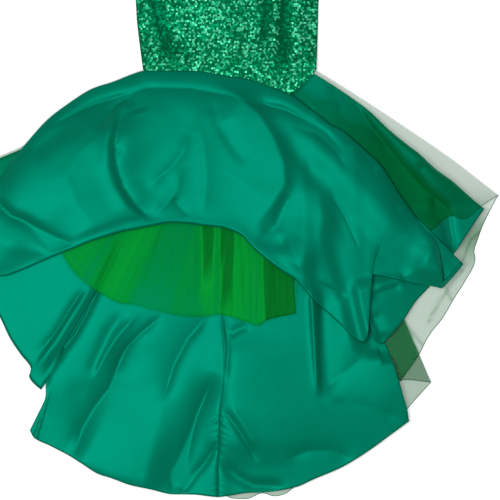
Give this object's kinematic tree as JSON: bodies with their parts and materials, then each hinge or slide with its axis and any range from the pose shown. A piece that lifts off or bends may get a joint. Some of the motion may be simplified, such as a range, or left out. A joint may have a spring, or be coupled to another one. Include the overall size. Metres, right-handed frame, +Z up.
{
  "type": "mermaid costume",
  "caption": "Strapless mermaid costume laid flat: sequin sheath to the knee, flared satin tail with its front turned up, net petticoat and sheer mesh overlay.",
  "frame": {"origin": "bottom centre of the laid-out costume's bounding box, on the surface it lies on", "axes": "+Y toward the bodice, +X across to the right as seen from above, +Z up from the surface"},
  "size_m": [0.953, 1.5814, 0.0453],
  "materials": {
    "sequin_cloth": "emerald sequins all over",
    "elastic_band": "plain elastic casing",
    "satin": "teal satin",
    "sheer_mesh": "fine sheer mesh, rolled hem",
    "net": "soft green net"
  },
  "bodies": {
    "root": {"sequin_back": "sequin_cloth", "sequin_front": "sequin_cloth", "band_back": "elastic_band", "band_front": "elastic_band", "satin_back_left": "satin", "satin_back_right": "satin", "satin_side_right": "satin", "satin_side_left": "satin", "mesh_back": "sheer_mesh", "mesh_side_right": "sheer_mesh", "mesh_side_left": "sheer_mesh", "petticoat_back": "net", "petticoat_front": "net", "satin_front": "satin"}
  },
  "joints": []
}
